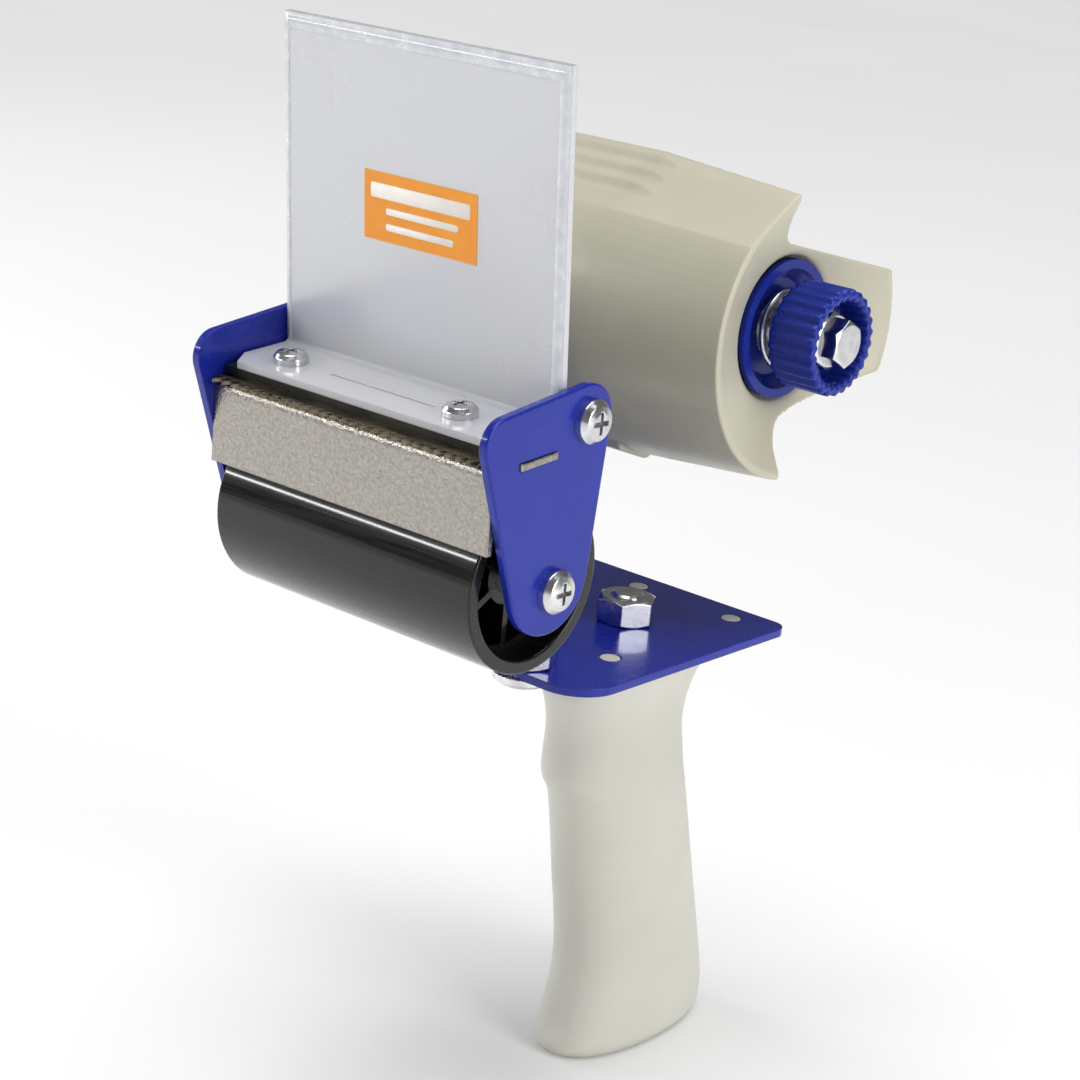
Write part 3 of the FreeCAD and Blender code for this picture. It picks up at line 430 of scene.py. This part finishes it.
def make_knob():
    """Knob cap whose wall is a wave all round, inside and out."""
    low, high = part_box("tension_knob")
    outer = (high.z - low.z) / 2
    inner = outer - KNOB_WALL
    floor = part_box("knob_nut")[0].x
    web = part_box("spring_washer")[1].x + KNOB_WASHER_GAP
    # (x, radius, share of the wave's depth) round the cap's section
    section = (
        (web, KNOB_BORE, 0), (web, inner - 0.0008, 0),
        (low.x, inner - 0.0004, 0), (low.x, outer - 0.0012, 0.2),
        (low.x + 0.0003, outer - 0.0002, 0.8), (low.x + 0.001, outer, 1),
        (high.x - 0.0012, outer, 1), (high.x - 0.0004, outer - 0.0001, 1),
        (high.x, outer - 0.0005, 1), (high.x, inner + 0.0005, 1),
        (high.x - 0.0004, inner + 0.0001, 1), (high.x - 0.0012, inner, 1),
        (floor + 0.0012, inner - 0.0001, 1),
        (floor, inner - 0.0008, 0.5), (floor, KNOB_BORE, 0),
    )
    shape = bmesh.new()
    rings = []
    for x, reach, share in section:
        ring = []
        for step in range(KNOB_WAVES * KNOB_WAVE_STEPS):
            turn = math.tau * step / (KNOB_WAVES * KNOB_WAVE_STEPS)
            out = reach + share * KNOB_WAVE_HALF_DEPTH * (math.cos(KNOB_WAVES * turn) - 1)
            ring.append(shape.verts.new((x, out * math.sin(turn), out * math.cos(turn))))
        rings.append(ring)
    bridge(shape, rings + rings[:1])
    new_piece("knob_cap", shape, "blue_plastic", "blue_plastic", "knob", "tension_knob")


def front_face(node):
    """The plane of the node's largest face towards -Y: normal, upward, distance and corners."""
    mesh = NODES[node].data
    facing = [face for face in mesh.polygons if face.normal.y < -0.9]
    largest = max(facing, key=lambda face: face.area)
    normal, nearest = largest.normal.copy(), largest.center.dot(largest.normal)
    upward = Vector((1, 0, 0)).cross(normal)
    upward *= math.copysign(1, upward.z)
    points = [
        corner.co for corner in mesh.vertices if abs(corner.co.dot(normal) - nearest) < SAME_PLANE]
    low = Vector((min(point.x for point in points), min(point.dot(upward) for point in points)))
    high = Vector((max(point.x for point in points), max(point.dot(upward) for point in points)))
    return normal, upward, nearest, low, high


def plate_on(shape, plane, loops, proud):
    """Lay flat loops of (x, height) points on a plane, joined in turn, each proud by its own amount."""
    normal, upward, nearest = plane
    rings = []
    for loop, lift in zip(loops, proud):
        rings.append([
            shape.verts.new(Vector((x, 0, 0)) + upward * height + normal * (nearest + lift))
            for x, height in loop])
    bridge(shape, rings)
    return rings


def rounded_box(left, below, right, above, corner, steps=4):
    """Points round a rectangle whose corners are arcs."""
    outline = []
    centres = ((right - corner, above - corner), (left + corner, above - corner),
               (left + corner, below + corner), (right - corner, below + corner))
    for quarter, (x, height) in enumerate(centres):
        for step in range(steps + 1):
            turn = (quarter + step / steps) * math.pi / 2
            outline.append((x + corner * math.cos(turn), height + corner * math.sin(turn)))
    return outline


BAR_CORNER = 0.0005
BAR_SUNK = 0.00002
BAR_PROUD = 0.00008


def make_label_bars():
    """Plain pale bars where a printed label has its lines."""
    normal, upward, nearest, low, high = front_face("guard_label")
    size = high - low
    # (left, below, right, above) as shares of the label
    bars = ((0.06, 0.62, 0.94, 0.84), (0.20, 0.40, 0.84, 0.50), (0.20, 0.17, 0.80, 0.27))
    for number, (left, below, right, above) in enumerate(bars):
        outline = rounded_box(
            low.x + left * size.x, low.y + below * size.y,
            low.x + right * size.x, low.y + above * size.y, BAR_CORNER)
        shape = bmesh.new()
        back, front = plate_on(shape, (normal, upward, nearest), (outline, outline), (-BAR_SUNK, BAR_PROUD))
        shape.faces.new(back)
        shape.faces.new(front)
        new_piece(f"label_bar_{number + 1}", shape, "label_ink", "label", "frame")


def make_guard_border():
    """The light band that the sheet's rim shows down both sides and along the top."""
    normal, upward, nearest, low, high = front_face("blade_guard")
    foot = low.y - 0.0008
    left, right, above = 0.0011, 0.0028, 0.0034
    slope = 0.0003
    edge = 0.0001
    sunk_by, proud_by = 0.0001, 0.00012
    inner = rounded_box(low.x + left, foot, high.x - right, high.y - above, 0.0008)
    sunk = rounded_box(
        low.x + left + slope, foot + slope, high.x - right - slope, high.y - above - slope, 0.0006)
    outer = rounded_box(low.x + edge, foot - 2 * edge, high.x - edge, high.y - edge, 0.0006)
    shape = bmesh.new()
    plate_on(shape, (normal, upward, nearest), (outer, outer, inner, sunk, outer),
             (-sunk_by, proud_by, proud_by, -sunk_by, -sunk_by))
    bmesh.ops.remove_doubles(shape, verts=shape.verts, dist=0.000001)
    new_piece("guard_rim", shape, "sheet_border", "clear_plastic", "frame")


# ---------------------------------------------------------------- floor, lights and camera

def make_floor():
    """A white ground just under the grip's foot."""
    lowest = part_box("handle")[0].z
    mesh = bpy.data.meshes.new("floor")
    shape = bmesh.new()
    bmesh.ops.create_circle(shape, cap_ends=True, radius=14, segments=96)
    shape.to_mesh(mesh)
    shape.free()
    floor = bpy.data.objects.new("floor", mesh)
    floor.location.z = lowest - 0.0002
    bpy.context.scene.collection.objects.link(floor)
    material, shader = new_material("floor_white", Base_Color=(0.78, 0.78, 0.78, 1),
                                    Emission_Color=(1, 1, 1, 1), Emission_Strength=0.08)
    join(material, spread(material, noise(material, 0.4), 0.5, 0.6), shader.inputs["Roughness"])
    floor.data.materials.append(material)


def soft_light(name, place_at, aim, size, watts):
    """A rectangular area light at one point, turned towards another."""
    lamp = bpy.data.lights.new(name, "AREA")
    lamp.shape = "RECTANGLE"
    lamp.size, lamp.size_y = size
    lamp.energy = watts
    holder = bpy.data.objects.new(name, lamp)
    holder.location = place_at
    holder.rotation_euler = (Vector(aim) - Vector(place_at)).to_track_quat("-Z", "Y").to_euler()
    bpy.context.scene.collection.objects.link(holder)


def make_lights():
    """Two soft lights from the sides, a long strip in front, a broad sun and a dim white world."""
    middle = (0, -0.03, -0.04)
    soft_light("right", (1.3, 0.0, 0.35), middle, (0.7, 0.9), 11)
    soft_light("left", (-1.3, -0.35, 0.4), middle, (0.6, 0.9), 6)
    soft_light("strip", (-1.1, -1.25, 0.5), (-1.1, -0.03, -0.04), (1.5, 0.05), 8)
    sky = bpy.data.lights.new("overhead", "SUN")
    sky.energy = 2.4
    sky.angle = 0.9
    bpy.context.scene.collection.objects.link(bpy.data.objects.new("overhead", sky))
    world = bpy.data.worlds.new("studio")
    world.use_nodes = True
    world.node_tree.nodes["Background"].inputs["Color"].default_value = (1, 1, 1, 1)
    world.node_tree.nodes["Background"].inputs["Strength"].default_value = 0.15
    bpy.context.scene.world = world
    bpy.context.scene.view_settings.view_transform = "Standard"


CAMERA_AT = (0.3604, -0.4895, 0.1288)


def make_camera():
    """Looking from the blade's side, a little above, with the body leaning slightly in the frame."""
    azimuth, elevation, roll = math.radians(39.4), math.radians(17.5), math.radians(5.2)
    flat = Vector((-math.sin(azimuth), math.cos(azimuth), 0))
    ahead = flat * math.cos(elevation) - Vector((0, 0, math.sin(elevation)))
    right = ahead.cross(Vector((0, 0, 1))).normalized()
    above = right.cross(ahead)
    turned_right = right * math.cos(roll) + above * math.sin(roll)
    turned_above = turned_right.cross(ahead)
    lens = bpy.data.cameras.new("camera")
    lens.lens = 85.4
    lens.sensor_width = 36
    lens.clip_start = 0.01
    camera = bpy.data.objects.new("camera", lens)
    turn = Matrix((turned_right, turned_above, -ahead)).transposed().to_4x4()
    camera.matrix_world = Matrix.Translation(CAMERA_AT) @ turn
    bpy.context.scene.collection.objects.link(camera)
    bpy.context.scene.camera = camera


make_grip()
make_knob()
make_label_bars()
make_guard_border()
make_floor()
make_lights()
make_camera()
